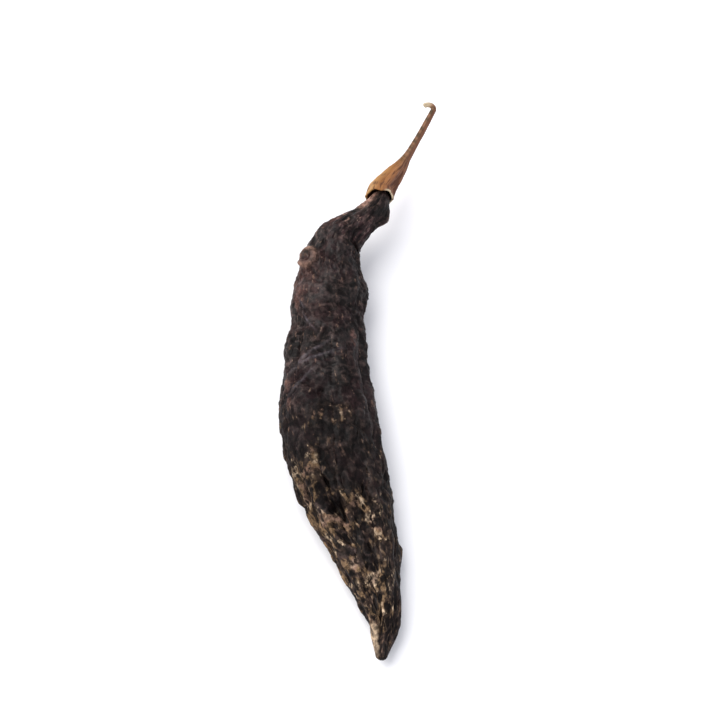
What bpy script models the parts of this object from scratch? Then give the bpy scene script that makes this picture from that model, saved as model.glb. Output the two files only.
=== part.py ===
"""A dried chilli pepper: a flattened, wrinkled pod lying on its belly, with its woody stem.

Metres, +Z up. The pod lies along Y, its tip at -Y and its stem at +Y. The origin is on the
surface that it lies on, under the middle of the whole fruit.
"""

import bisect
import math
from typing import NamedTuple

import bmesh
import bpy
from mathutils import Vector, noise


class Station(NamedTuple):
    """A place along the pod: how far on it is, its centre, and how far the skin stands from it."""

    along: float
    x: float
    y: float
    z: float
    half_width: float
    half_height: float


class Crease(NamedTuple):
    """A fold that runs along the pod: where it starts and ends, its side, depth and width."""

    start: float
    end: float
    angle: float
    depth: float
    width: float


class Dent(NamedTuple):
    """A short slanting fold across the pod: its middle, slant, reach, depth and width."""

    along: float
    angle: float
    slant: float
    reach: float
    depth: float
    width: float


# The pod, from its tip to the end of its neck, which stands inside the calyx
POD = (
    Station(0.000, 0.0052, -0.0765, 0.0036, 0.0011, 0.0010),
    Station(0.010, 0.0056, -0.0662, 0.0042, 0.0035, 0.0030),
    Station(0.020, 0.0035, -0.0566, 0.0049, 0.0058, 0.0045),
    Station(0.032, 0.0000, -0.0451, 0.0056, 0.0086, 0.0059),
    Station(0.046, -0.0043, -0.0318, 0.0065, 0.0110, 0.0070),
    Station(0.062, -0.0074, -0.0162, 0.0068, 0.0116, 0.0073),
    Station(0.080, -0.0083, 0.0017, 0.0067, 0.0099, 0.0068),
    Station(0.100, -0.0077, 0.0215, 0.0079, 0.0083, 0.0061),
    Station(0.111, -0.0056, 0.0321, 0.0095, 0.0063, 0.0052),
    Station(0.119, 0.0003, 0.0377, 0.0105, 0.0038, 0.0038),
    Station(0.124, 0.0037, 0.0415, 0.0112, 0.0028, 0.0028),
    Station(0.127, 0.0051, 0.0442, 0.0114, 0.0022, 0.0022),
    Station(0.129, 0.0056, 0.0460, 0.0112, 0.0017, 0.0017),
)
POD_LENGTH = POD[-1].along

# The stem's middle line, from the rim of the calyx to where the hook begins: along, x, y, z
STEM_LINE = (
    (0.000, 0.0047, 0.0444, 0.0115),
    (0.003, 0.0054, 0.0470, 0.0111),
    (0.006, 0.0069, 0.0497, 0.0106),
    (0.012, 0.0101, 0.0549, 0.0096),
    (0.020, 0.0136, 0.0621, 0.0085),
    (0.033, 0.0187, 0.0739, 0.0070),
)

# How thick it is: along, radius
STEM_THICKNESS = (
    (0.0000, 0.00352),
    (0.0015, 0.00336),
    (0.0030, 0.00326),
    (0.0045, 0.00308),
    (0.0060, 0.00284),
    (0.0090, 0.00235),
    (0.0120, 0.00172),
    (0.0150, 0.00122),
    (0.0200, 0.00092),
    (0.0330, 0.00070),
)
HOOK_RADIUS = 0.00145
HOOK_TURN = math.radians(150)
HOOK_STEPS = 12
HOOK_END_RADIUS = 0.0006
CALYX_WALL = 0.00045
CALYX_DEPTH = 0.0036
CALYX_FLOOR_SHARE = 0.70
STEM_RIBS = 6
RIB_DEPTH = 0.09
RIB_START = 0.005
RIB_TWIST = 0.010
STEM_UNEVEN = 0.07
RIM_WAVE = 0.00030
RIM_REACH = 0.0012
RIM_LOBES = 5
RIM_TILT = 0.0008
RIM_TILT_REACH = 0.0045

# Mesh fineness
POD_SIDES = 68
POD_RINGS = 88
STEM_SIDES = 30
STRAIGHT_RINGS = 26
STRAIGHT_CROWDING = 1.35
CUP_RINGS = 6

# Rings crowd together at the two ends of the pod, to round them
END_CROWDING = 0.024
END_CROWDED = 0.03

# Folds that run along the pod
CREASES = (
    Crease(0.052, 0.090, math.radians(27), 0.0014, 0.20),
    Crease(0.006, 0.052, math.radians(62), 0.0011, 0.26),
    Crease(0.004, 0.060, math.radians(118), 0.0013, 0.24),
    Crease(0.066, 0.100, math.radians(140), 0.0009, 0.22),
    Crease(0.010, 0.080, math.radians(196), 0.0012, 0.20),
    Crease(0.030, 0.120, math.radians(232), 0.0015, 0.22),
    Crease(0.008, 0.100, math.radians(318), 0.0016, 0.24),
    Crease(0.070, 0.124, math.radians(350), 0.0009, 0.20),
)
CREASE_WANDER = 0.22
CREASE_FADE = 0.016
VALLEY = 1.15
LIP = 0.35
LIP_OFF = 1.6
LIP_WIDTH = 0.8

# Short folds across its face and edges; the last one bulges
DENTS = (
    Dent(0.067, math.radians(104), 0.0085, 0.55, 0.0010, 0.0021),
    Dent(0.058, math.radians(70), 0.0060, 0.45, 0.0007, 0.0018),
    Dent(0.090, math.radians(80), -0.0040, 0.50, 0.0006, 0.0017),
    Dent(0.0995, math.radians(150), -0.0030, 0.45, 0.0007, 0.0016),
    Dent(0.112, math.radians(30), 0.0050, 0.60, 0.0009, 0.0018),
    Dent(0.040, math.radians(20), -0.0050, 0.50, 0.0007, 0.0018),
    Dent(0.088, math.radians(178), 0.0, 0.50, 0.0010, 0.0035),
    Dent(0.098, 0.0, 0.0, 0.70, -0.0014, 0.0042),
)

# The knob on the shoulder: a blister with a sunken middle
KNOB_ALONG = 0.1045
KNOB_ANGLE = math.radians(135)
KNOB_RADIUS = 0.0025
KNOB_HEIGHT = 0.0014
KNOB_HOLLOW = 0.70

# A swelling beside the neck, just under the calyx
SWELLING_ALONG = 0.1232
SWELLING_ANGLE = math.radians(-15)
SWELLING_LENGTH = 0.0021
SWELLING_HEIGHT = 0.0016

# Gathers under the calyx, and ridges that twist into the tip
GATHERS = 7
GATHER_DEPTH = 0.00045
GATHER_REACH = 0.013
TIP_RIDGES = 5
TIP_RIDGE_SHARE = 0.16
TIP_REACH = 0.030
TIP_TWIST = math.radians(75) / 0.030

# Crumpled cells all over the skin, longer along the pod than across it
CELL_SIZES = (0.0068, 0.0036)
CELL_DEPTHS = (0.0009, 0.0004)
CELL_STRETCH = 2.2
CELL_EDGE = 0.42
CELL_WARP = 0.5
CELL_SEED = 8
noise.seed_set(CELL_SEED)
CALM_SIZE = 0.020
FURROW_DEPTH = 0.0011
FURROW_TIMES = 2.6
FURROW_LENGTH = 0.026


def smooth_row(rows, along):
    """The row at a distance along, from a smooth curve through rows that start with theirs."""
    i = min(max(bisect.bisect(rows, along, key=lambda row: row[0]) - 1, 0), len(rows) - 2)
    here, there = rows[i], rows[i + 1]
    before, after = rows[max(i - 1, 0)], rows[min(i + 2, len(rows) - 1)]
    length = there[0] - here[0]
    t = min(max((along - here[0]) / length, 0.0), 1.0)
    out = []
    for a, b, c, d in zip(before, here, there, after):
        leaving = (c - a) / (there[0] - before[0]) * length
        arriving = (d - b) / (after[0] - here[0]) * length
        bend = t * t * (3 - 2 * t)
        out.append(
            b + (c - b) * bend + leaving * t * (1 - t) ** 2 - arriving * t * t * (1 - t)
        )
    return out


def pod_station(along):
    return Station(*smooth_row(POD, along))


def middle(station):
    return Vector((station.x, station.y, station.z))


def cross_axes(heading):
    """The level side direction and the upward one, square to the way a form runs."""
    side = heading.cross(Vector((0, 0, 1))).normalized()
    return side, side.cross(heading)


def seeded_noise(seed, x, y, z):
    """Smooth noise from -1 to 1, different for each seed."""
    return noise.noise(Vector((x + 17.3 * seed, y - 9.1 * seed, z)))


def crease_relief(along, angle):
    """Valleys of the lengthwise folds, with a raised lip on each side."""
    relief = 0.0
    for number, crease in enumerate(CREASES):
        inside = min(along - crease.start, crease.end - along) / CREASE_FADE
        if inside <= 0:
            continue
        wander = CREASE_WANDER * seeded_noise(number + 1, along / 0.022, 0, 0)
        off = math.remainder(angle - crease.angle - wander, math.tau) / crease.width
        fade = min(inside, 1.0)
        fade *= fade * (3 - 2 * fade)
        valley = VALLEY * math.exp(-VALLEY * abs(off))
        lip = LIP * math.exp(-(((abs(off) - LIP_OFF) / LIP_WIDTH) ** 2))
        relief += crease.depth * fade * (lip - valley)
    return relief


def dent_relief(along, angle):
    relief = 0.0
    for dent in DENTS:
        turn = math.remainder(angle - dent.angle, math.tau)
        off = (along - dent.along - dent.slant * turn) / dent.width
        fade = math.exp(-((turn / dent.reach) ** 2))
        relief -= dent.depth * fade * (1 - 0.6 * off * off) * math.exp(-off * off / 2)
    return relief


def knob_relief(along, angle, half_width):
    across = math.remainder(angle - KNOB_ANGLE, math.tau) * half_width
    reach = math.hypot(along - KNOB_ALONG, across) / KNOB_RADIUS
    hill = math.exp(-(reach**4))
    hollow = KNOB_HOLLOW * math.exp(-((reach / 0.42) ** 2))
    return KNOB_HEIGHT * (hill - hollow)


def swelling_relief(along, angle):
    off = (along - SWELLING_ALONG) / SWELLING_LENGTH
    turn = math.remainder(angle - SWELLING_ANGLE, math.tau)
    return SWELLING_HEIGHT * math.exp(-off * off - turn * turn)


def end_relief(along, angle, half_width):
    """Ridges that twist into the tip, and gathers that draw the neck into the calyx."""
    tip = math.exp(-((along / TIP_REACH) ** 2))
    neck = math.exp(-(POD_LENGTH - along) / GATHER_REACH)
    twisted = math.cos(TIP_RIDGES * angle + TIP_TWIST * along)
    gathered = math.cos(GATHERS * angle + 2.0 * seeded_noise(21, along / 0.008, 0, 0))
    narrowing = min(half_width / 0.004, 1.0)
    return TIP_RIDGE_SHARE * tip * half_width * twisted + GATHER_DEPTH * neck * narrowing * gathered


def crumple_relief(point, along, angle):
    """Puckered cells between sharp valleys, and long shallow furrows, calmer in places."""
    calm = 0.75 + 0.5 * seeded_noise(31, *(point / CALM_SIZE))
    relief = 0.0
    for size, depth in zip(CELL_SIZES, CELL_DEPTHS):
        spot = Vector((point.x, point.y / CELL_STRETCH, point.z)) / size
        spot += CELL_WARP * noise.noise_vector(spot * 0.8)
        nearest, second = noise.voronoi(spot)[0][:2]
        pillow = min((second - nearest) / CELL_EDGE, 1.0)
        relief += depth * calm * (math.sqrt(pillow) - 0.65)
    furrow = noise.noise(
        Vector(
            (
                FURROW_TIMES * math.cos(angle),
                FURROW_TIMES * math.sin(angle),
                along / FURROW_LENGTH,
            )
        )
    )
    return relief - FURROW_DEPTH * (0.45 - abs(furrow)) * calm


def pod_point(along, angle):
    """A point of the pod's skin. Angle 0 is its right side, and a quarter turn on is its top."""
    station = pod_station(along)
    ahead = middle(pod_station(along + 0.0005))
    behind = middle(pod_station(along - 0.0005))
    side, up = cross_axes((ahead - behind).normalized())
    to_neck_end = POD_LENGTH - along
    rounding = min(along / POD[0].half_width, to_neck_end / POD[-1].half_width, 1.0)
    rounding = math.sqrt(max(rounding, 0.0) * (2 - rounding))
    wide, high = station.half_width * rounding, station.half_height * rounding
    skin = middle(station) + side * math.cos(angle) * wide + up * math.sin(angle) * high
    outward = (side * math.cos(angle) * high + up * math.sin(angle) * wide).normalized()
    relief = crease_relief(along, angle) + dent_relief(along, angle)
    relief += knob_relief(along, angle, wide) + crumple_relief(skin, along, angle)
    relief *= min(high / 0.0055, 1.0)
    relief += end_relief(along, angle, wide)
    relief *= min(0.25 + max(to_neck_end - 0.002, 0.0) / 0.006, 1.0)
    relief += swelling_relief(along, angle)
    skin += outward * max(relief, -0.45 * high) * rounding
    skin.z = max(skin.z, 0.0)
    return skin


def crowded(even):
    """Where a ring of the pod sits along it: rings stand closer together at both ends."""
    start = math.exp(-even / END_CROWDED)
    end = math.exp(-(1 - even) / END_CROWDED)
    share = (even - END_CROWDING * (1 - start + end)) / (1 - 2 * END_CROWDING)
    return POD_LENGTH * min(max(share, 0.0), 1.0)


def stem_places():
    """(centre, radius) along the stem, from the calyx rim down the stalk and round the hook."""
    straight = STEM_LINE[-1][0]
    places = []
    for i in range(STRAIGHT_RINGS + 1):
        along = straight * (i / STRAIGHT_RINGS) ** STRAIGHT_CROWDING
        centre = Vector(smooth_row(STEM_LINE, along)[1:])
        places.append((centre, smooth_row(STEM_THICKNESS, along)[1]))
    end, thick = places[-1]
    heading = (end - places[-2][0]).normalized()
    side, _ = cross_axes(heading)
    for i in range(1, HOOK_STEPS + 1):
        turn = HOOK_TURN * i / HOOK_STEPS
        centre = end + HOOK_RADIUS * (heading * math.sin(turn) - side * (1 - math.cos(turn)))
        places.append((centre, thick + (HOOK_END_RADIUS - thick) * i / HOOK_STEPS))
    return places


def stem_rings():
    """(centre, heading, radius, from_rim, ribbing) of each ring, from the hook's end to the
    floor of the calyx cup."""
    places = stem_places()
    rings = []
    from_rim = 0.0
    for i, (centre, radius) in enumerate(places):
        ahead, behind = places[min(i + 1, len(places) - 1)][0], places[max(i - 1, 0)][0]
        if i:
            from_rim += (centre - behind).length
        ribbing = min(0.3 + from_rim / RIB_START, 1.0)
        rings.append((centre, (ahead - behind).normalized(), radius, from_rim, ribbing))
    end, heading = rings[-1][:2]
    for onward, share in ((0.0002, 0.75), (0.0003, 0.0)):
        rings.append((end + heading * onward, heading, HOOK_END_RADIUS * share, from_rim, 1.0))
    rings.reverse()
    rim, out, radius = rings[-1][:3]
    rings.append((rim - out * 0.00012, out, radius - CALYX_WALL / 2, 0.0, 0.15))
    inside = radius - CALYX_WALL
    for i in range(CUP_RINGS + 1):
        deep = i / CUP_RINGS
        radius = inside * (1 - (1 - CALYX_FLOOR_SHARE) * deep)
        rings.append((rim + out * CALYX_DEPTH * deep, out, radius, CALYX_DEPTH * deep, 0.0))
    for deep, share in ((1.04, 0.5), (1.06, 0.0)):
        rings.append((rim + out * CALYX_DEPTH * deep, out, radius * share, CALYX_DEPTH, 0.0))
    return rings


def stem_point(ring, angle):
    """A point of the stem's skin: ribbed lengthwise, with a wavy rim round the calyx that
    reaches further on the left."""
    centre, heading, radius, from_rim, ribbing = ring
    side, up = cross_axes(-heading)
    ribs = RIB_DEPTH * math.cos(STEM_RIBS * angle + from_rim / RIB_TWIST)
    uneven = STEM_UNEVEN * seeded_noise(41, from_rim / 0.004, math.cos(angle), math.sin(angle))
    radius *= 1 + ribbing * (ribs + uneven)
    wave = RIM_WAVE * math.exp(-from_rim / RIM_REACH) * math.cos(RIM_LOBES * angle + 0.8)
    wave -= RIM_TILT * math.exp(-from_rim / RIM_TILT_REACH) * math.cos(angle)
    return centre + (side * math.cos(angle) + up * math.sin(angle)) * radius + heading * wave


def clear_scene():
    for thing in list(bpy.data.objects):
        bpy.data.objects.remove(thing)


def finish(name, colour, roughness):
    """A Principled BSDF with the piece's colour and roughness."""
    material = bpy.data.materials.new(name)
    material.use_nodes = True
    shader = material.node_tree.nodes["Principled BSDF"]
    shader.inputs["Base Color"].default_value = (*colour, 1.0)
    shader.inputs["Roughness"].default_value = roughness
    return material


def shaped_ball(name, sides, rings, place, origin, material):
    """An object made from a UV sphere, whose rings and sides become points of a form by place."""
    ball = bmesh.new()
    bmesh.ops.create_uvsphere(ball, u_segments=sides, v_segments=rings, radius=1.0)
    for corner in ball.verts:
        height = min(max(corner.co.z, -1.0), 1.0)
        ring = round(math.acos(height) / math.pi * rings)
        angle = math.atan2(corner.co.y, corner.co.x) if 0 < ring < rings else 0.0
        corner.co = place(ring, angle) - origin
    mesh = bpy.data.meshes.new(name)
    ball.to_mesh(mesh)
    ball.free()
    mesh.materials.append(material)
    mesh.shade_smooth()
    piece = bpy.data.objects.new(name, mesh)
    piece.location = origin
    return piece


def make_pod():
    return shaped_ball(
        "pod",
        POD_SIDES,
        POD_RINGS,
        lambda ring, angle: pod_point(crowded(ring / POD_RINGS), angle),
        Vector((0, 0, 0)),
        finish("pod_skin", (0.033, 0.022, 0.019), 0.5),
    )


def make_stem():
    rings = stem_rings()
    return shaped_ball(
        "stem",
        STEM_SIDES,
        len(rings) - 1,
        lambda ring, angle: stem_point(rings[ring], angle),
        Vector(STEM_LINE[0][1:]),
        finish("stem_wood", (0.37, 0.19, 0.08), 0.7),
    )


def main():
    clear_scene()
    collection = bpy.data.collections.new("dried_chilli")
    bpy.context.scene.collection.children.link(collection)
    fruit = bpy.data.objects.new("dried_chilli", None)
    collection.objects.link(fruit)
    for piece in (make_pod(), make_stem()):
        collection.objects.link(piece)
        piece.parent = fruit


main()
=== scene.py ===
"""A dried chilli pepper, dressed: its dark, wrinkled skin, its woody stalk, and a plain stage.

Metres, +Z up, in the frame of the solid model. The pod's tip is at -Y and its stalk at +Y.
"""

import bisect
import math
from functools import lru_cache
from typing import NamedTuple

import bpy
from bpy.props import FloatProperty, FloatVectorProperty, IntProperty, PointerProperty
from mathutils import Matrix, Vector, noise


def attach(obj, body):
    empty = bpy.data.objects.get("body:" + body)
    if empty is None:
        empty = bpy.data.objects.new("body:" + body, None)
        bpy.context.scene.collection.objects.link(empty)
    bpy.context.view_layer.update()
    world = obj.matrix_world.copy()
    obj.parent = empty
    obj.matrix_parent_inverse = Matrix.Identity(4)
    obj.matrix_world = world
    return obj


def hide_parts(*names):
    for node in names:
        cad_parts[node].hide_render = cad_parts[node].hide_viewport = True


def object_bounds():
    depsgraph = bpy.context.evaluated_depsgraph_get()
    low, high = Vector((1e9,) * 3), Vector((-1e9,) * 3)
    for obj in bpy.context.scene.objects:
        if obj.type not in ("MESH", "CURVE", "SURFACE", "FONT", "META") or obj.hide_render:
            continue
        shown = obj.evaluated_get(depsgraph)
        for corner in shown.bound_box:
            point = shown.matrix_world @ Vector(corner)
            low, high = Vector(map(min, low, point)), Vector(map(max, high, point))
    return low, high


bl_info = {
    "name": "Dried chilli pepper",
    "version": (1, 0, 0),
    "blender": (4, 5, 0),
    "location": "3D View > Sidebar > Chilli",
    "description": "Dresses the solid dried chilli with its wrinkled skin and woody stalk",
    "category": "Mesh",
}

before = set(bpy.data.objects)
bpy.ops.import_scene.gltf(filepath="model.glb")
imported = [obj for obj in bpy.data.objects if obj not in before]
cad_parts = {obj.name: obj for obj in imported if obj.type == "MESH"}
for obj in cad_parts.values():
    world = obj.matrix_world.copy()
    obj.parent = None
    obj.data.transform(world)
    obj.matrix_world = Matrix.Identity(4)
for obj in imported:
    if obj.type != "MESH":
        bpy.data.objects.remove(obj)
SOLID_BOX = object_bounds()
BODY = "root"


class Station(NamedTuple):
    """A place along the pod: how far on it is, its centre, and how far the skin stands from it."""

    along: float
    x: float
    y: float
    z: float
    half_width: float
    half_height: float


class Crease(NamedTuple):
    """A fold that runs along the pod: where it starts and ends, its side, depth and width."""

    start: float
    end: float
    angle: float
    depth: float
    width: float


class Dent(NamedTuple):
    """A short slanting fold across the pod: its middle, slant, reach, depth and width."""

    along: float
    angle: float
    slant: float
    reach: float
    depth: float
    width: float


# The form of the solid pod, from its tip to the end of its neck
POD = (
    Station(0.000, 0.0052, -0.0765, 0.0036, 0.0011, 0.0010),
    Station(0.010, 0.0056, -0.0662, 0.0042, 0.0035, 0.0030),
    Station(0.020, 0.0035, -0.0566, 0.0049, 0.0058, 0.0045),
    Station(0.032, 0.0000, -0.0451, 0.0056, 0.0086, 0.0059),
    Station(0.046, -0.0043, -0.0318, 0.0065, 0.0110, 0.0070),
    Station(0.062, -0.0074, -0.0162, 0.0068, 0.0116, 0.0073),
    Station(0.080, -0.0083, 0.0017, 0.0067, 0.0099, 0.0068),
    Station(0.100, -0.0077, 0.0215, 0.0079, 0.0083, 0.0061),
    Station(0.111, -0.0056, 0.0321, 0.0095, 0.0063, 0.0052),
    Station(0.119, 0.0003, 0.0377, 0.0105, 0.0038, 0.0038),
    Station(0.124, 0.0037, 0.0415, 0.0112, 0.0028, 0.0028),
    Station(0.127, 0.0051, 0.0442, 0.0114, 0.0022, 0.0022),
    Station(0.129, 0.0056, 0.0460, 0.0112, 0.0017, 0.0017),
)
POD_LENGTH = POD[-1].along

# The stem's middle line, from the rim of the calyx to where the hook begins: along, x, y, z
STEM_LINE = (
    (0.000, 0.0047, 0.0444, 0.0115),
    (0.003, 0.0054, 0.0470, 0.0111),
    (0.006, 0.0069, 0.0497, 0.0106),
    (0.012, 0.0101, 0.0549, 0.0096),
    (0.020, 0.0136, 0.0621, 0.0085),
    (0.033, 0.0187, 0.0739, 0.0070),
)

# How thick it is: along, radius
STEM_THICKNESS = (
    (0.0000, 0.00352),
    (0.0015, 0.00336),
    (0.0030, 0.00326),
    (0.0045, 0.00308),
    (0.0060, 0.00284),
    (0.0090, 0.00235),
    (0.0120, 0.00172),
    (0.0150, 0.00122),
    (0.0200, 0.00092),
    (0.0330, 0.00070),
)
HOOK_RADIUS = 0.00145
HOOK_TURN = math.radians(150)
HOOK_STEPS = 28
HOOK_END_RADIUS = 0.0006
CALYX_WALL = 0.00045
CALYX_DEPTH = 0.0036
CALYX_FLOOR_SHARE = 0.70
STEM_RIBS = 6
RIB_DEPTH = 0.09
RIB_START = 0.005
RIB_TWIST = 0.010
STEM_UNEVEN = 0.07
RIM_WAVE = 0.00030
RIM_REACH = 0.0012
RIM_LOBES = 5
RIM_TILT = 0.0008
RIM_TILT_REACH = 0.0045
RIM_PHASE = 0.8
RIBS_AT_RIM = 0.3
LIP_RIBS = 0.15
UNEVEN_LENGTH = 0.004

# How the hook's end, the calyx lip and the floor of its cup are rounded: (how far on, share of
# the radius), (how far out, share of the wall) and (share of the depth, share of the radius)
HOOK_CAP = ((0.0001, 0.95), (0.0002, 0.75), (0.00027, 0.4), (0.0003, 0.0))
CALYX_LIP = ((0.00009, 0.2), (0.00013, 0.5), (0.00009, 0.8))
CUP_FLOOR = ((1.03, 0.8), (1.05, 0.5), (1.06, 0.0))

# Mesh fineness
POD_SIDES = 236
POD_RINGS = 412
STEM_SIDES = 96
STRAIGHT_RINGS = 150
STRAIGHT_CROWDING = 1.35
CUP_RINGS = 16

# Rings crowd together at the two ends of the pod, to round them
END_CROWDING = 0.024
END_CROWDED = 0.03

# Folds that run along the pod
CREASES = (
    Crease(0.052, 0.090, math.radians(27), 0.0014, 0.20),
    Crease(0.006, 0.052, math.radians(62), 0.0011, 0.26),
    Crease(0.004, 0.060, math.radians(118), 0.0013, 0.24),
    Crease(0.066, 0.100, math.radians(140), 0.0009, 0.22),
    Crease(0.010, 0.080, math.radians(196), 0.0012, 0.20),
    Crease(0.030, 0.120, math.radians(232), 0.0015, 0.22),
    Crease(0.008, 0.100, math.radians(318), 0.0016, 0.24),
    Crease(0.070, 0.124, math.radians(350), 0.0009, 0.20),
)
CREASE_WANDER = 0.22
WANDER_LENGTH = 0.022
CREASE_FADE = 0.016
VALLEY = 1.15
LIP = 0.35
LIP_OFF = 1.6
LIP_WIDTH = 0.8

# Short folds across its face and edges; the last one bulges. Each has a weak lip on both sides
DENTS = (
    Dent(0.067, math.radians(104), 0.0085, 0.55, 0.0010, 0.0021),
    Dent(0.058, math.radians(70), 0.0060, 0.45, 0.0007, 0.0018),
    Dent(0.090, math.radians(80), -0.0040, 0.50, 0.0006, 0.0017),
    Dent(0.0995, math.radians(150), -0.0030, 0.45, 0.0007, 0.0016),
    Dent(0.112, math.radians(30), 0.0050, 0.60, 0.0009, 0.0018),
    Dent(0.040, math.radians(20), -0.0050, 0.50, 0.0007, 0.0018),
    Dent(0.088, math.radians(178), 0.0, 0.50, 0.0010, 0.0035),
    Dent(0.098, 0.0, 0.0, 0.70, -0.0014, 0.0042),
)
DENT_LIP = 0.6

# The knob on the shoulder: a blister with a sunken middle
KNOB_ALONG = 0.1045
KNOB_ANGLE = math.radians(135)
KNOB_RADIUS = 0.0025
KNOB_HEIGHT = 0.0014
KNOB_HOLLOW = 0.70
KNOB_HOLLOW_REACH = 0.42

# The ring round its hollow, measured in radii of the knob
RING_PLACE = 0.8
RING_WIDTH = 0.2

# A swelling beside the neck, just under the calyx
SWELLING_ALONG = 0.1232
SWELLING_ANGLE = math.radians(-15)
SWELLING_LENGTH = 0.0021
SWELLING_HEIGHT = 0.0016

# Gathers under the calyx, and ridges that twist into the tip
GATHERS = 7
GATHER_DEPTH = 0.00045
GATHER_REACH = 0.013
GATHER_SHIFT = 2.0
GATHER_SHIFT_LENGTH = 0.008
GATHER_FULL_WIDTH = 0.004
TIP_RIDGES = 5
TIP_RIDGE_SHARE = 0.16
TIP_REACH = 0.030
TIP_TWIST = math.radians(75) / 0.030

# Crumpled cells all over the skin, longer along the pod than across it
CELL_SIZES = (0.0068, 0.0036)
CELL_DEPTHS = (0.0009, 0.0004)
UPPER_CELLS = 0.55
CELL_STRETCH = 2.2
CELL_EDGE = 0.42
CELL_MEAN = 0.65
CELL_WARP = 0.5
CELL_WARP_SCALE = 0.8
CALM_SIZE = 0.020
CALM_MEAN = 0.75
CALM_SWING = 0.5
FURROW_DEPTH = 0.0011
FURROW_MEAN = 0.45
FURROW_TIMES = 2.6
FURROW_LENGTH = 0.026

# The cells are warped the same way in each run only if the noise has a seed that isn't 0
CELL_SEED = 8
noise.seed_set(CELL_SEED)

# Which noise the other uneven forms take
GATHER_SEED = 21
CALM_SEED = 31
STEM_SEED = 41

# All relief is weaker where the pod is thinner than this, and on the last bit of its neck
FULL_RELIEF_HEIGHT = 0.0055
NECK_RELIEF = 0.25
NECK_RELIEF_END = 0.002
NECK_RELIEF_LENGTH = 0.006
DEEPEST_SHARE = 0.45
HALF_STEP = 0.0005

# Patterns on the skin are measured on a round form whose radius follows the pod's partly
ROUND_GIRTH = 0.0090
GIRTH_FOLLOWS = 0.65
NECK_CALM = 0.0045

# The skin is rough below the first of these places and smoother above the second, and worn and
# flecked below the third and hardly above the fourth
LOWER_END = 0.040
UPPER_START = 0.078
WORN_END = 0.036
WORN_START = 0.066

# How far the edge of the worn part wanders, and how much lower it is in the middle and higher
# at the left
RAGGED_EDGE = 0.08
LEFT_EDGE = 0.009
MIDDLE_EDGE = 0.005

# Thin raised creases, with a painted highlight along their tops: along, angle, slant, reach, width
LIT_CREASES = (
    (0.0772, math.radians(116), -0.0067, 0.44, 0.00050),
    (0.0762, math.radians(106), -0.0034, 0.50, 0.00045),
    (0.0700, math.radians(128), -0.0080, 0.30, 0.00040),
    (0.0925, math.radians(138), 0.0110, 0.22, 0.00050),
    (0.0870, math.radians(120), 0.0120, 0.20, 0.00045),
)

# Redder blotches: along, angle, reach along, reach round
BLOTCHES = (
    (0.0825, math.radians(45), 0.0028, 0.16),
    (0.0705, math.radians(152), 0.0022, 0.20),
    (0.0655, math.radians(146), 0.0016, 0.16),
    (0.0945, math.radians(146), 0.0050, 0.14),
)

# The floor, the two soft lights, and the light all round with what the camera sees of it
FLOOR_SIZE = 6.0
FLOOR_DROP = 0.00005
KEY_PLACE = (-0.60, 0.30, 1.00)
KEY_SIZE = 1.3
KEY_TINT = (1.0, 0.98, 0.95)
FILL_PLACE = (0.8, -0.6, 0.7)
FILL_SIZE = 0.9
FILL_TINT = (0.9, 0.94, 1.0)
SKY = (0.92, 0.93, 1.0)
SKY_SEEN = 0.95

# The camera stands where the photograph's did, and turns to the fruit with a longer lens
CAMERA_ELEVATION = math.radians(62)
CAMERA_DISTANCE = 0.5737
PHOTO_MIDDLE = Vector((0.0052, -0.0018, 0.0))
PHOTO_FIELD = math.radians(40)


class Ring(NamedTuple):
    """What the points of one ring of the pod share."""

    along: float
    centre: Vector
    side: Vector
    up: Vector
    wide: float
    high: float
    rounding: float
    wanders: tuple
    gather_shift: float


def smooth_row(rows, along):
    """The row at a distance along, from a smooth curve through rows that start with theirs."""
    i = min(max(bisect.bisect(rows, along, key=lambda row: row[0]) - 1, 0), len(rows) - 2)
    here, there = rows[i], rows[i + 1]
    before, after = rows[max(i - 1, 0)], rows[min(i + 2, len(rows) - 1)]
    length = there[0] - here[0]
    t = min(max((along - here[0]) / length, 0.0), 1.0)
    out = []
    for a, b, c, d in zip(before, here, there, after):
        leaving = (c - a) / (there[0] - before[0]) * length
        arriving = (d - b) / (after[0] - here[0]) * length
        bend = t * t * (3 - 2 * t)
        out.append(
            b + (c - b) * bend + leaving * t * (1 - t) ** 2 - arriving * t * t * (1 - t)
        )
    return out


def pod_station(along):
    return Station(*smooth_row(POD, along))


def middle(station):
    return Vector((station.x, station.y, station.z))


def cross_axes(heading):
    """The level side direction and the upward one, square to the way a form runs."""
    side = heading.cross(Vector((0, 0, 1))).normalized()
    return side, side.cross(heading)


def lowness(along):
    """1 in the rough lower part of the pod and 0 in the smoother upper part."""
    share = min(max((UPPER_START - along) / (UPPER_START - LOWER_END), 0.0), 1.0)
    return share * share * (3 - 2 * share)


def seeded_noise(seed, x, y, z):
    """Smooth noise from -1 to 1, different for each seed."""
    return noise.noise(Vector((x + 17.3 * seed, y - 9.1 * seed, z)))


@lru_cache(maxsize=None)
def pod_ring(along):
    station = pod_station(along)
    ahead = middle(pod_station(along + HALF_STEP))
    behind = middle(pod_station(along - HALF_STEP))
    side, up = cross_axes((ahead - behind).normalized())
    rounding = min(along / POD[0].half_width, (POD_LENGTH - along) / POD[-1].half_width, 1.0)
    rounding = math.sqrt(max(rounding, 0.0) * (2 - rounding))
    wanders = tuple(
        CREASE_WANDER * seeded_noise(number + 1, along / WANDER_LENGTH, 0, 0)
        for number in range(len(CREASES))
    )
    return Ring(
        along,
        middle(station),
        side,
        up,
        station.half_width * rounding,
        station.half_height * rounding,
        rounding,
        wanders,
        GATHER_SHIFT * seeded_noise(GATHER_SEED, along / GATHER_SHIFT_LENGTH, 0, 0),
    )


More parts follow.
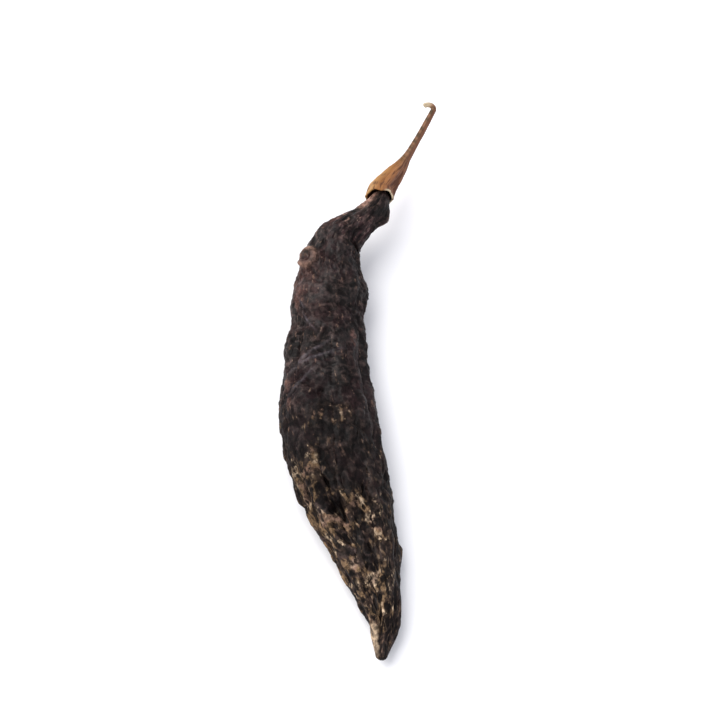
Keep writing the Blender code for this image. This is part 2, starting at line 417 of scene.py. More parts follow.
def crease_relief(ring, angle):
    """Valleys of the lengthwise folds, with a raised lip on each side."""
    relief = 0.0
    for crease, wander in zip(CREASES, ring.wanders):
        inside = min(ring.along - crease.start, crease.end - ring.along) / CREASE_FADE
        if inside <= 0:
            continue
        off = math.remainder(angle - crease.angle - wander, math.tau) / crease.width
        fade = min(inside, 1.0)
        fade *= fade * (3 - 2 * fade)
        valley = VALLEY * math.exp(-VALLEY * abs(off))
        lip = LIP * math.exp(-(((abs(off) - LIP_OFF) / LIP_WIDTH) ** 2))
        relief += crease.depth * fade * (lip - valley)
    return relief


def dent_relief(along, angle):
    relief = 0.0
    for dent in DENTS:
        turn = math.remainder(angle - dent.angle, math.tau)
        off = (along - dent.along - dent.slant * turn) / dent.width
        fade = math.exp(-((turn / dent.reach) ** 2))
        relief -= dent.depth * fade * (1 - DENT_LIP * off * off) * math.exp(-off * off / 2)
    return relief


def knob_relief(along, angle, half_width):
    across = math.remainder(angle - KNOB_ANGLE, math.tau) * half_width
    reach = math.hypot(along - KNOB_ALONG, across) / KNOB_RADIUS
    hill = math.exp(-(reach**4))
    hollow = KNOB_HOLLOW * math.exp(-((reach / KNOB_HOLLOW_REACH) ** 2))
    return KNOB_HEIGHT * (hill - hollow)


def swelling_relief(along, angle):
    off = (along - SWELLING_ALONG) / SWELLING_LENGTH
    turn = math.remainder(angle - SWELLING_ANGLE, math.tau)
    return SWELLING_HEIGHT * math.exp(-off * off - turn * turn)


def end_relief(ring, angle):
    """Ridges that twist into the tip, and gathers that draw the neck into the calyx."""
    tip = math.exp(-((ring.along / TIP_REACH) ** 2))
    neck = math.exp(-(POD_LENGTH - ring.along) / GATHER_REACH)
    twisted = math.cos(TIP_RIDGES * angle + TIP_TWIST * ring.along)
    gathered = math.cos(GATHERS * angle + ring.gather_shift)
    narrowing = min(ring.wide / GATHER_FULL_WIDTH, 1.0)
    return (
        TIP_RIDGE_SHARE * tip * ring.wide * twisted
        + GATHER_DEPTH * neck * narrowing * gathered
    )


def crumple_relief(point, along, angle):
    """Puckered cells between sharp valleys, and long shallow furrows, calmer in places."""
    calm = CALM_MEAN + CALM_SWING * seeded_noise(CALM_SEED, *(point / CALM_SIZE))
    cells = calm * (UPPER_CELLS + (1 - UPPER_CELLS) * lowness(along))
    relief = 0.0
    for size, depth in zip(CELL_SIZES, CELL_DEPTHS):
        spot = Vector((point.x, point.y / CELL_STRETCH, point.z)) / size
        spot += CELL_WARP * noise.noise_vector(spot * CELL_WARP_SCALE)
        nearest, second = noise.voronoi(spot)[0][:2]
        pillow = min((second - nearest) / CELL_EDGE, 1.0)
        relief += depth * cells * (math.sqrt(pillow) - CELL_MEAN)
    round_it = Vector((math.cos(angle), math.sin(angle), 0)) * FURROW_TIMES
    furrow = noise.noise(round_it + Vector((0, 0, along / FURROW_LENGTH)))
    return relief - FURROW_DEPTH * (FURROW_MEAN - abs(furrow)) * calm


def pod_point(along, angle):
    """A point of the pod's skin. Angle 0 is its right side, and a quarter turn on is its top."""
    ring = pod_ring(along)
    wide, high = ring.wide, ring.high
    cosine, sine = math.cos(angle), math.sin(angle)
    skin = ring.centre + ring.side * (cosine * wide) + ring.up * (sine * high)
    outward = (ring.side * (cosine * high) + ring.up * (sine * wide)).normalized()
    relief = crease_relief(ring, angle) + dent_relief(along, angle)
    relief += knob_relief(along, angle, wide) + crumple_relief(skin, along, angle)
    relief *= min(high / FULL_RELIEF_HEIGHT, 1.0)
    relief += end_relief(ring, angle)
    from_neck_end = max(POD_LENGTH - along - NECK_RELIEF_END, 0.0)
    relief *= min(NECK_RELIEF + from_neck_end / NECK_RELIEF_LENGTH, 1.0)
    relief += swelling_relief(along, angle)
    skin += outward * (max(relief, -DEEPEST_SHARE * high) * ring.rounding)
    skin.z = max(skin.z, 0.0)
    return skin


def crowded(even):
    """Where a ring of the pod sits along it: rings stand closer together at both ends."""
    start = math.exp(-even / END_CROWDED)
    end = math.exp(-(1 - even) / END_CROWDED)
    share = (even - END_CROWDING * (1 - start + end)) / (1 - 2 * END_CROWDING)
    return POD_LENGTH * min(max(share, 0.0), 1.0)


def stem_places():
    """(centre, radius) along the stem, from the calyx rim down the stalk and round the hook."""
    straight = STEM_LINE[-1][0]
    places = []
    for i in range(STRAIGHT_RINGS + 1):
        along = straight * (i / STRAIGHT_RINGS) ** STRAIGHT_CROWDING
        centre = Vector(smooth_row(STEM_LINE, along)[1:])
        places.append((centre, smooth_row(STEM_THICKNESS, along)[1]))
    end, thick = places[-1]
    heading = (end - places[-2][0]).normalized()
    side, _ = cross_axes(heading)
    for i in range(1, HOOK_STEPS + 1):
        turn = HOOK_TURN * i / HOOK_STEPS
        centre = end + HOOK_RADIUS * (heading * math.sin(turn) - side * (1 - math.cos(turn)))
        places.append((centre, thick + (HOOK_END_RADIUS - thick) * i / HOOK_STEPS))
    return places


def stem_rings():
    """(centre, heading, radius, from_rim, ribbing) of each ring, from the hook's end to the
    floor of the calyx cup."""
    places = stem_places()
    rings = []
    from_rim = 0.0
    for i, (centre, radius) in enumerate(places):
        ahead, behind = places[min(i + 1, len(places) - 1)][0], places[max(i - 1, 0)][0]
        if i:
            from_rim += (centre - behind).length
        ribbing = min(RIBS_AT_RIM + from_rim / RIB_START, 1.0)
        rings.append((centre, (ahead - behind).normalized(), radius, from_rim, ribbing))
    end, heading = rings[-1][:2]
    for onward, share in HOOK_CAP:
        rings.append((end + heading * onward, heading, HOOK_END_RADIUS * share, from_rim, 1.0))
    rings.reverse()
    rim, out, radius = rings[-1][:3]
    for out_by, share in CALYX_LIP:
        rings.append((rim - out * out_by, out, radius - CALYX_WALL * share, -0.0001, LIP_RIBS))
    inside = radius - CALYX_WALL
    for i in range(CUP_RINGS + 1):
        deep = i / CUP_RINGS
        radius = inside * (1 - (1 - CALYX_FLOOR_SHARE) * deep)
        rings.append((rim + out * CALYX_DEPTH * deep, out, radius, -CALYX_DEPTH * deep, 0.0))
    for deep, share in CUP_FLOOR:
        rings.append((rim + out * CALYX_DEPTH * deep, out, radius * share, -CALYX_DEPTH, 0.0))
    return rings


def stem_point(ring, angle):
    """A point of the stem's skin: ribbed lengthwise, with a wavy rim round the calyx that
    reaches further on the left."""
    centre, heading, radius, from_rim, ribbing = ring
    side, up = cross_axes(-heading)
    from_rim = abs(from_rim)
    ribs = RIB_DEPTH * math.cos(STEM_RIBS * angle + from_rim / RIB_TWIST)
    across, upward = math.cos(angle), math.sin(angle)
    uneven = STEM_UNEVEN * seeded_noise(STEM_SEED, from_rim / UNEVEN_LENGTH, across, upward)
    radius *= 1 + ribbing * (ribs + uneven)
    wave = RIM_WAVE * math.exp(-from_rim / RIM_REACH) * math.cos(RIM_LOBES * angle + RIM_PHASE)
    wave -= RIM_TILT * math.exp(-from_rim / RIM_TILT_REACH) * across
    return centre + (side * across + up * upward) * radius + heading * wave


def closed_form(name, sides, rings, place, facts):
    """An object with a pole at each end and rings of points between, each put in its place.
    Each point keeps its angle round the form, and the facts that its ring has by name."""
    points = []
    turns = []
    of_ring = []
    for ring in range(rings + 1):
        around = sides if 0 < ring < rings else 1
        for side in range(around):
            angle = math.tau * side / sides
            points.append(place(ring, angle))
            turns.append(angle)
            of_ring.append(ring)

    def corner(ring, side):
        if ring == 0:
            return 0
        if ring == rings:
            return len(points) - 1
        return 1 + (ring - 1) * sides + side % sides

    faces = []
    for ring in range(rings):
        for side in range(sides):
            here, there = corner(ring, side), corner(ring + 1, side)
            next_there, next_here = corner(ring + 1, side + 1), corner(ring, side + 1)
            if ring == 0:
                faces.append((here, there, next_there))
            elif ring == rings - 1:
                faces.append((here, there, next_here))
            else:
                faces.append((here, there, next_there, next_here))
    mesh = bpy.data.meshes.new(name)
    mesh.from_pydata(points, [], faces)
    mesh.shade_smooth()
    mesh.attributes.new("turn", "FLOAT", "POINT").data.foreach_set("value", turns)
    for fact, of_each_ring in facts.items():
        values = [of_each_ring[ring] for ring in of_ring]
        mesh.attributes.new(fact, "FLOAT", "POINT").data.foreach_set("value", values)
    piece = bpy.data.objects.new(name, mesh)
    bpy.context.scene.collection.objects.link(piece)
    return piece


class Trees:
    """Builds a node tree from calls: each call puts a node in and links what it is given."""

    def __init__(self, tree):
        self.tree = tree

    def add(self, kind, inputs=None, **settings):
        node = self.tree.nodes.new(kind)
        for name, value in settings.items():
            setattr(node, name, value)
        for key, value in (inputs or {}).items():
            if isinstance(value, bpy.types.NodeSocket):
                self.tree.links.new(value, node.inputs[key])
            else:
                node.inputs[key].default_value = value
        return node

    def math(self, operation, *values):
        return self.add(
            "ShaderNodeMath", dict(enumerate(values)), operation=operation
        ).outputs[0]

    def times(self, *values):
        """The product of numbers."""
        product = values[0]
        for value in values[1:]:
            product = self.math("MULTIPLY", product, value)
        return product

    def most(self, *values):
        """The greatest of numbers."""
        greatest = values[0]
        for value in values[1:]:
            greatest = self.math("MAXIMUM", greatest, value)
        return greatest

    def plus(self, first, second):
        return self.math("ADD", first, second)

    def minus(self, first, second):
        return self.math("SUBTRACT", first, second)

    def over(self, first, second):
        return self.math("DIVIDE", first, second)

    def times_plus(self, first, second, more):
        """first * second + more."""
        return self.math("MULTIPLY_ADD", first, second, more)

    def squared(self, value):
        return self.math("POWER", self.math("ABSOLUTE", value), 2.0)

    def bell(self, off):
        """1 where off is 0, and nearer to 0 the greater it is."""
        return self.math("EXPONENT", self.times(off, -1.0))

    def vector_math(self, operation, *values):
        node = self.add("ShaderNodeVectorMath", dict(enumerate(values)), operation=operation)
        return node.outputs[0]

    def scaled(self, vector, factor):
        node = self.add("ShaderNodeVectorMath", {0: vector, "Scale": factor}, operation="SCALE")
        return node.outputs[0]

    def combined(self, x, y, z):
        return self.add("ShaderNodeCombineXYZ", {0: x, 1: y, 2: z}).outputs[0]

    def ramped(self, value, low, high, to_low=0.0, to_high=1.0):
        """Value from low to high becomes to_low to to_high, with smooth ends."""
        node = self.add(
            "ShaderNodeMapRange",
            {0: value, 1: low, 2: high, 3: to_low, 4: to_high},
            interpolation_type="SMOOTHSTEP",
        )
        return node.outputs[0]

    def mixed(self, share, first, second, blend="MIX"):
        """A mix of two colours."""
        inputs = {0: share, 6: first, 7: second}
        node = self.add("ShaderNodeMix", inputs, data_type="RGBA", blend_type=blend)
        return node.outputs[2]

    def darkened(self, tint, factor):
        """A colour times a number, which may also lighten it."""
        return self.mixed(1.0, tint, factor, "MULTIPLY")

    def noise(self, vector, scale, detail, roughness, seed, output=0):
        return self.add(
            "ShaderNodeTexNoise",
            {"Vector": vector, "W": seed, "Scale": scale, "Detail": detail, "Roughness": roughness},
            noise_dimensions="4D",
        ).outputs[output]

    def axes(self, vector):
        return self.add("ShaderNodeSeparateXYZ", {0: vector}).outputs

    def in_units(self, place, width, length):
        """A place counted in widths across and lengths along."""
        x, y, z = self.axes(place)
        return self.combined(self.over(x, width), self.over(y, width), self.over(z, length))

    def group(self, tree, **inputs):
        """The first output of a shared node group."""
        kind = "GeometryNodeGroup" if tree.bl_idname == "GeometryNodeTree" else "ShaderNodeGroup"
        return self.add(kind, inputs, node_tree=tree).outputs[0]

    def fact(self, name, output="Fac"):
        """What each point of a material's piece keeps under a name."""
        return self.add("ShaderNodeAttribute", attribute_name=name).outputs[output]

    def bump(self, shader, strength, distance, height):
        inputs = {"Strength": strength, "Distance": distance, "Height": height}
        bump = self.add("ShaderNodeBump", inputs)
        self.tree.links.new(bump.outputs[0], shader.inputs["Normal"])

    def named(self, name):
        """A number that each point of a geometry tree's mesh keeps."""
        node = self.add("GeometryNodeInputNamedAttribute", {"Name": name}, data_type="FLOAT")
        return node.outputs[0]

    def stored(self, geometry, name, value, kind="FLOAT"):
        return self.add(
            "GeometryNodeStoreNamedAttribute",
            {"Geometry": geometry, "Name": name, "Value": value},
            data_type=kind,
            domain="POINT",
        ).outputs[0]

    def closed(self, geometry, material):
        """The end of a geometry tree: real points only, with their material."""
        real = self.add("GeometryNodeRealizeInstances", {0: geometry}).outputs[0]
        dressed = self.add("GeometryNodeSetMaterial", {"Geometry": real, "Material": material})
        self.add("NodeGroupOutput", {0: dressed.outputs[0]})


def numbers(*names):
    """Number sockets that start at 0."""
    return tuple((name, "NodeSocketFloat", 0.0) for name in names)


def new_sockets(tree, inputs, outputs):
    """Gives a node group its named sockets: (name, kind, default) each."""
    for direction, sockets in (("INPUT", inputs), ("OUTPUT", outputs)):
        for name, kind, default in sockets:
            socket = tree.interface.new_socket(name, in_out=direction, socket_type=kind)
            if default is not None:
                socket.default_value = default


def wrinkle_field():
    """A geometry group: narrow crests that wander and join, with wide hollows between them.
    Its height is 0 in a hollow and 1 on a crest."""
    tree = bpy.data.node_groups.new("Wrinkle field", "GeometryNodeTree")
    new_sockets(
        tree,
        (
            ("Place", "NodeSocketVector", None),
            ("Width", "NodeSocketFloat", 0.003),
            ("Length", "NodeSocketFloat", 0.008),
            ("Sharpness", "NodeSocketFloat", 9.0),
            ("Seed", "NodeSocketFloat", 0.0),
        ),
        (("Height", "NodeSocketFloat", None),),
    )
    make = Trees(tree)
    given = make.add("NodeGroupInput").outputs
    shaped = make.in_units(given["Place"], given["Width"], given["Length"])
    warp = make.noise(shaped, 0.5, 1.0, 0.5, given["Seed"], output=1)
    centred = make.vector_math("SUBTRACT", warp, (0.5, 0.5, 0.5))
    warped = make.vector_math("ADD", shaped, make.scaled(centred, 1.4))
    value = make.noise(warped, 0.8, 1.0, 0.4, given["Seed"])
    swing = make.math("ABSOLUTE", make.minus(value, 0.5))
    off = make.math("POWER", make.times(swing, given["Sharpness"]), 1.3)
    make.add("NodeGroupOutput", {0: make.bell(off)})
    return tree


POD_SIZES = (
    "Fold depth", "Fold width", "Wrinkle depth", "Wrinkle width",
    "Crinkle depth", "Crinkle width", "Knob ring", "Lit crease",
)
STEM_SIZES = ("Fibre depth", "Fibres round", "Fibre length")


def skin_tree(name, sizes):
    """A geometry tree that takes sizes, a seed and a material, with its builder and inputs."""
    tree = bpy.data.node_groups.new(name, "GeometryNodeTree")
    seed = ("Seed", "NodeSocketInt", 0)
    material = ("Material", "NodeSocketMaterial", None)
    solid = ("Geometry", "NodeSocketGeometry", None)
    new_sockets(tree, (solid, *numbers(*sizes), seed, material), (solid,))
    make = Trees(tree)
    return tree, make, make.add("NodeGroupInput").outputs


def lit_creases(make, along, turn):
    """The thin raised creases, 1 along their tops."""
    lit = 0.0
    for at, angle, slant, reach, width in LIT_CREASES:
        turned = make.minus(turn, angle)
        off = make.times_plus(turned, -slant, make.minus(along, at))
        off = make.squared(make.over(off, width))
        lit = make.plus(lit, make.bell(make.plus(off, make.squared(make.over(turned, reach)))))
    return lit


def blotches(make, along, turn):
    """The redder blotches, 1 in their middles."""
    blotch = 0.0
    for at, angle, length, reach in BLOTCHES:
        off = make.over(make.minus(along, at), length)
        turned = make.over(make.minus(turn, angle), reach)
        far = make.times_plus(off, off, make.times(turned, turned))
        blotch = make.most(blotch, make.bell(far))
    return blotch


def ring_of_knob(make, along, turn, girth):
    """The ring round the knob's hollow, 1 along its top."""
    across = make.times(make.minus(turn, KNOB_ANGLE), girth)
    beyond = make.math("POWER", make.minus(along, KNOB_ALONG), 2.0)
    reach = make.math("SQRT", make.times_plus(across, across, beyond))
    off = make.minus(make.over(reach, KNOB_RADIUS), RING_PLACE)
    return make.bell(make.squared(make.over(off, RING_WIDTH)))


def pod_skin_tree(field):
    """The geometry tree that wrinkles the pod's skin."""
    tree, make, given = skin_tree("Pod wrinkles", POD_SIZES)
    along, turn, fullness = make.named("along"), make.named("turn"), make.named("fullness")
    rightness, girth = make.math("COSINE", turn), make.named("girth")
    place = make.combined(
        make.times(rightness, girth), make.times(make.math("SINE", turn), girth), along
    )
    lower = make.ramped(along, LOWER_END, UPPER_START, 1.0, 0.0)

    def crests(name, upper_stretch, lower_stretch, sharpness, seed):
        """Crests that run further along the pod in its lower part than in its upper one."""
        width = given[name]
        inputs = {"Place": place, "Width": width, "Sharpness": sharpness}
        inputs["Seed"] = make.plus(given["Seed"], seed)
        upper, below = (
            make.group(field, Length=make.times(width, stretch), **inputs)
            for stretch in (upper_stretch, lower_stretch)
        )
        return make.add("ShaderNodeMix", {0: lower, 2: upper, 3: below}).outputs[0]

    def lifted(height, mean, name, share):
        return make.times(make.minus(height, mean), given[name], share)

    # Broad folds, wrinkles on them and the finest wrinkles, all calmer in the upper part
    patches = make.noise(place, 90.0, 1.0, 0.5, 7.0)
    rough = make.ramped(patches, 0.36, 0.60, 0.5, 1.0)
    fuller = make.ramped(lower, 0.0, 1.0, 0.55, 1.4)
    deeper = make.times(rough, make.ramped(lower, 0.0, 1.0, 0.55, 1.7))
    fold = crests("Fold width", 1.4, 3.4, 7.0, 0.0)
    wrinkle = crests("Wrinkle width", 1.1, 2.6, 8.0, 3.0)
    crinkle = crests("Crinkle width", 1.0, 2.0, 9.0, 5.0)
    total = make.plus(
        lifted(fold, 0.45, "Fold depth", fuller), lifted(wrinkle, 0.4, "Wrinkle depth", deeper)
    )
    total = make.plus(total, lifted(crinkle, 0.4, "Crinkle depth", rough))

    # What stands at a place of its own
    lit = lit_creases(make, along, turn)
    knob_ring = ring_of_knob(make, along, turn, girth)
    total = make.times(make.times_plus(lit, given["Lit crease"], total), fullness)
    total = make.times_plus(knob_ring, given["Knob ring"], total)

    # Points move out or in, but never below the floor
    normal = make.add("GeometryNodeInputNormal").outputs[0]
    position = make.add("GeometryNodeInputPosition").outputs[0]
    parts = make.axes(make.vector_math("ADD", position, make.scaled(normal, total)))
    settled = make.combined(parts[0], parts[1], make.most(parts[2], 0.0))
    geometry = make.stored(given["Geometry"], "skin_place", place, "FLOAT_VECTOR")
    for name, value in (
        ("rightness", rightness),
        ("fold", fold),
        ("crest", make.times(wrinkle, make.times_plus(fold, 0.6, 0.4))),
        ("crinkle", crinkle),
        ("knob_ring", knob_ring),
        ("lit", lit),
        ("blotch", blotches(make, along, turn)),
    ):
        geometry = make.stored(geometry, name, value)
    moved = make.add("GeometryNodeSetPosition", {"Geometry": geometry, "Position": settled})
    make.closed(moved.outputs[0], given["Material"])
    return tree


def stem_skin_tree():
    """The geometry tree that draws fibres down the stem."""
    tree, make, given = skin_tree("Stem fibres", STEM_SIZES)
    along, turn = make.named("along"), make.named("turn")
    across, upness = make.math("COSINE", turn), make.math("SINE", turn)
    place = make.combined(
        make.times(across, given["Fibres round"]),
        make.times(upness, given["Fibres round"]),
        make.over(along, given["Fibre length"]),
    )
    fibre = make.noise(place, 1.0, 2.0, 0.55, given["Seed"])
    outside = make.ramped(along, -0.0004, 0.0006)
    depth = make.times(given["Fibre depth"], make.ramped(along, 0.006, 0.02, 1.0, 0.4))
    height = make.times(make.minus(fibre, 0.5), depth, 3.0, outside)
    normal = make.add("GeometryNodeInputNormal").outputs[0]
    geometry = make.stored(given["Geometry"], "fibre_place", place, "FLOAT_VECTOR")
    geometry = make.stored(geometry, "fibre", fibre)
    geometry = make.stored(geometry, "rightness", make.times(across, -1.0))
    geometry = make.stored(geometry, "upness", upness)
    moved = make.add(
        "GeometryNodeSetPosition", {"Geometry": geometry, "Offset": make.scaled(normal, height)}
    )
    make.closed(moved.outputs[0], given["Material"])
    return tree


def chosen(look, sizes, material):
    """What goes into a tree's sockets, by name: the sizes and seed of a look, and a material."""
    values = {name: getattr(look, name.lower().replace(" ", "_")) for name in sizes}
    return {**values, "Seed": look.seed, "Material": material}


def shape_by(piece, tree, values):
    """Runs a geometry tree on a piece with named values, and keeps the result as its mesh."""
    modifier = piece.modifiers.new(tree.name, "NODES")
    modifier.node_group = tree
    for item in tree.interface.items_tree:
        if item.in_out == "INPUT" and item.name in values:
            modifier[item.identifier] = values[item.name]
    graph = bpy.context.evaluated_depsgraph_get()
    made = bpy.data.meshes.new_from_object(piece.evaluated_get(graph))
    piece.modifiers.remove(modifier)
    piece.data = made
    made.name = piece.name


def speckle_group():
    """A shader group: small scattered spots of a size, longer one way than across."""
    tree = bpy.data.node_groups.new("Speckles", "ShaderNodeTree")
    new_sockets(
        tree,
        (
            ("Place", "NodeSocketVector", None),
            ("Width", "NodeSocketFloat", 0.001),
            ("Length", "NodeSocketFloat", 0.001),
            ("Share", "NodeSocketFloat", 0.2),
            ("Raggedness", "NodeSocketFloat", 3.0),
            ("Seed", "NodeSocketFloat", 0.0),
        ),
        (("Mask", "NodeSocketFloat", None),),
    )
    make = Trees(tree)
    given = make.add("NodeGroupInput").outputs
    shaped = make.in_units(given["Place"], given["Width"], given["Length"])
    value = make.noise(shaped, 1.0, given["Raggedness"], 0.65, given["Seed"])
    edge = make.minus(0.72, make.times(given["Share"], 0.35))
    make.add("NodeGroupOutput", {0: make.ramped(value, edge, make.plus(edge, 0.12))})
    return tree


def grain_group():
    """A shader group: the fine crinkled grain of a dry surface, as a height from 0 to 1."""
    tree = bpy.data.node_groups.new("Dry grain", "ShaderNodeTree")
    new_sockets(
        tree,
        (
            ("Place", "NodeSocketVector", None),
            ("Size", "NodeSocketFloat", 0.0005),
            ("Seed", "NodeSocketFloat", 0.0),
        ),
        (("Height", "NodeSocketFloat", None),),
    )
    make = Trees(tree)
    given = make.add("NodeGroupInput").outputs
    scale = make.over(1.0, given["Size"])
    fine = make.noise(given["Place"], scale, 2.0, 0.5, given["Seed"])
    swing = make.math("ABSOLUTE", make.minus(fine, 0.5))
    make.add("NodeGroupOutput", {0: make.minus(1.0, make.times(swing, 4.0))})
    return tree


def shared(build):
    """The node group that a function builds, built the first time that it is asked for."""
    name = build.__name__.replace("_", " ")
    if name not in bpy.data.node_groups:
        build().name = name
    return bpy.data.node_groups[name]


def colour(value):
    return (*value, 1.0)


def new_material(name):
    """A material with its node builder and its Principled shader."""
    material = bpy.data.materials.new(name)
    material.use_nodes = True
    return material, Trees(material.node_tree), material.node_tree.nodes["Principled BSDF"]


def skin_material(look):
    """Dry chilli skin: brown-black with a purple flush, browner on its crests, and flecked tan
    where its lower half has worn. Painted highlights lie on its crests, its thin creases, its lit
    left and its worn ridges, with painted glints all over and painted shade in its lower hollows."""
    material, make, shader = new_material("pod_skin")
    speckles, grain = shared(speckle_group), shared(grain_group)
    times, ramped = make.times, make.ramped
    place = make.add("ShaderNodeTexCoord").outputs["Object"]
    wound = make.fact("skin_place", "Vector")
    axes = make.axes(wound)
    along = axes[2]
    rightness, fold, crest = (make.fact(name) for name in ("rightness", "fold", "crest"))
    crinkle, knob_ring, lit = (make.fact(name) for name in ("crinkle", "knob_ring", "lit"))
    leftward = ramped(rightness, 0.1, -0.95)
    inward = make.minus(1.0, times(rightness, rightness))

    # How worn the skin is by where it is: all in the lower part, with a ragged upper edge
    ragged = make.minus(make.noise(place, 75.0, 2.0, 0.6, 21.0), 0.5)
    reach = make.times_plus(ragged, RAGGED_EDGE, along)
    reach = make.times_plus(leftward, -LEFT_EDGE, reach)
    reach = make.times_plus(inward, MIDDLE_EDGE, reach)
    lower = ramped(reach, WORN_END, WORN_START, 1.0, 0.0)

    # Unworn skin: its flush, its browner crests with a painted highlight that is stronger on the
    # lit left, the blotches, and a painted highlight along the thin raised creases
    cloud = make.noise(place, 130.0, 3.0, 0.6, 2.0)
    flush = times(ramped(cloud, 0.44, 0.60), ramped(lower, 0.0, 1.0, 1.0, 0.25))
    base = make.mixed(flush, colour(look.skin), colour(look.flush))
    crests = make.most(crest, times(crinkle, 0.85))
    line = ramped(crests, 0.35, 0.9)
    broken = make.noise(place, 700.0, 2.0, 0.6, 3.0)
    # The crests' own browner tone with a painted highlight, up to twice as strong on the lit left
    crest_tint_and_highlight = times(ramped(crests, 0.50, 0.95), ramped(leftward, 0.0, 1.0, 0.5, 1.0))
    crest_tint_and_highlight = times(crest_tint_and_highlight, ramped(broken, 0.40, 0.60, 0.2, 1.0))
    base = make.mixed(crest_tint_and_highlight, base, colour(look.crest))
    blotched = times(ramped(make.fact("blotch"), 0.3, 0.8), ramped(broken, 0.36, 0.60, 0.15, 0.9))
    base = make.mixed(blotched, base, colour(look.blotch))
    # A painted highlight along the tops of the thin raised creases
    lit = times(lit, ramped(broken, 0.36, 0.56, 0.35, 1.0))
    base = make.mixed(times(lit, 0.8), base, colour(look.lit))

    # Worn skin, in clumps that follow the folds and thin out at the right and the tip
    clump = make.noise(wound, 150.0, 2.0, 0.6, 12.0)
    clump = make.times_plus(times(leftward, lower), 0.02, clump)
    clump = make.times_plus(times(inward, lower), 0.03, clump)
    clump = make.times_plus(make.minus(fold, 0.45), 0.09, clump)
    sparser = times(ramped(rightness, 0.1, 0.8, 1.0, 0.42), ramped(along, 0.0, 0.030, 0.62, 1.0))
    worn = times(ramped(clump, 0.43, 0.60), lower, ramped(line, 0.05, 0.7, 0.05, 1.0), sparser)
    base = make.mixed(times(worn, 0.8), base, colour(look.worn))
    # A painted highlight, purplish, on the lit left of the upper part, in the blotches' colour
    purplish = times(leftward, ramped(cloud, 0.46, 0.62), ramped(along, 0.070, 0.086))
    base = make.mixed(times(purplish, 0.35), base, colour(look.blotch))

    # Flecks: ragged tan streaks and dots where it has worn, partly painted highlight along the
    # ridges, and small painted glints all over, most on the lit left
    def spots(width, length, share, seed, raggedness=3.0):
        sizes = {"Width": look.fleck_width * width, "Length": look.fleck_width * length}
        inputs = {"Place": wound, "Share": share, "Raggedness": raggedness, "Seed": seed}
        return make.group(speckles, **sizes, **inputs)

    share = make.times_plus(lower, look.fleck_share, look.few_flecks)
    share = times(ramped(clump, 0.45, 0.62), share, sparser)
    on_line = ramped(line, 0.1, 0.65, 0.1, 1.0)
    streaks = spots(1.0, 3.0, times(share, 1.25), 1.0, 1.4)
    streaks = times(streaks, on_line, ramped(broken, 0.38, 0.56, 0.2, 1.0))
    dots = times(spots(0.5, 0.9, share, 5.0), ramped(line, 0.0, 0.5, 0.2, 1.0))
    # Painted glints along the crests, most on the lit left
    painted_glint_share = times(ramped(lower, 0.2, 0.9, 1.0, 1.3), look.painted_glint_share)
    glints = spots(0.6, 2.2, painted_glint_share, 9.0)
    glints = times(glints, ramped(leftward, 0.0, 1.0, 0.45, 1.0), on_line)
    flecked = make.most(streaks, dots, glints)
    tint = ramped(make.noise(place, 420.0, 1.0, 0.5, 8.0), 0.50, 0.66)
    hue = ramped(make.noise(place, 210.0, 1.0, 0.5, 15.0), 0.52, 0.64, 0.0, 0.6)
    fleck = make.mixed(tint, colour(look.fleck), colour(look.pale_fleck))
    fleck = make.mixed(hue, fleck, colour(look.pink_fleck))
    fleck = make.mixed(ramped(lower, 0.0, 0.6, 0.6, 0.0), fleck, colour(look.pink_fleck))
    base = make.mixed(times(flecked, 0.9), base, fleck)
    # Painted shade in the hollows between the ridges of the lower part
    sunken = times(lower, ramped(line, 0.30, 0.0, 0.0, 0.4))
    base = make.mixed(sunken, base, colour(look.painted_hollow_shade))

    # Rubbed skin round the knob and at the mouth of the calyx, and the bare left of the tip
    ring_share = times(knob_ring, ramped(rightness, -0.45, -0.75, 0.35, 0.9))
    ring_share = times(ring_share, ramped(broken, 0.34, 0.52, 0.6, 1.0))
    base = make.mixed(ring_share, base, colour(look.rubbed))
    at_mouth = times(ramped(along, 0.1195, 0.1225), ramped(rightness, 0.0, -0.4))
    patch = times(at_mouth, ramped(broken, 0.36, 0.60, 0.2, 0.6))
    base = make.mixed(patch, base, colour(look.rubbed))
    wander = make.minus(make.noise(place, 330.0, 2.0, 0.6, 9.0), 0.5)
    bare = times(
        ramped(make.times_plus(wander, 0.012, along), 0.0090, 0.0062),
        ramped(make.times_plus(wander, 1.8, rightness), -0.38, -0.80),
        ramped(broken, 0.34, 0.56, 0.3, 1.0),
        ramped(along, 0.0, 0.0055, 0.35, 1.0),
    )
    base = make.mixed(times(bare, 0.85), base, colour(look.pale_fleck))

    # Specks all over, a duller middle, and streaks drawn out along the neck
    specks = ramped(make.noise(place, 850.0, 3.0, 0.65, 31.0), 0.36, 0.64, 0.5, 1.6)
    duller = times(ramped(along, 0.088, 0.054), ramped(along, 0.030, 0.044))
    duller = times(duller, ramped(rightness, 0.75, 0.25))
    base = make.darkened(base, times(specks, make.times_plus(duller, -0.35, 1.0)))
    drawn = make.noise(make.combined(axes[0], axes[1], times(along, 0.3)), 520.0, 2.0, 0.6, 17.0)
    drawn = make.darkened(base, ramped(drawn, 0.40, 0.64, 0.4, 2.6))
    base = make.mixed(ramped(along, 0.109, 0.115), base, drawn)
    make.tree.links.new(base, shader.inputs["Base Color"])

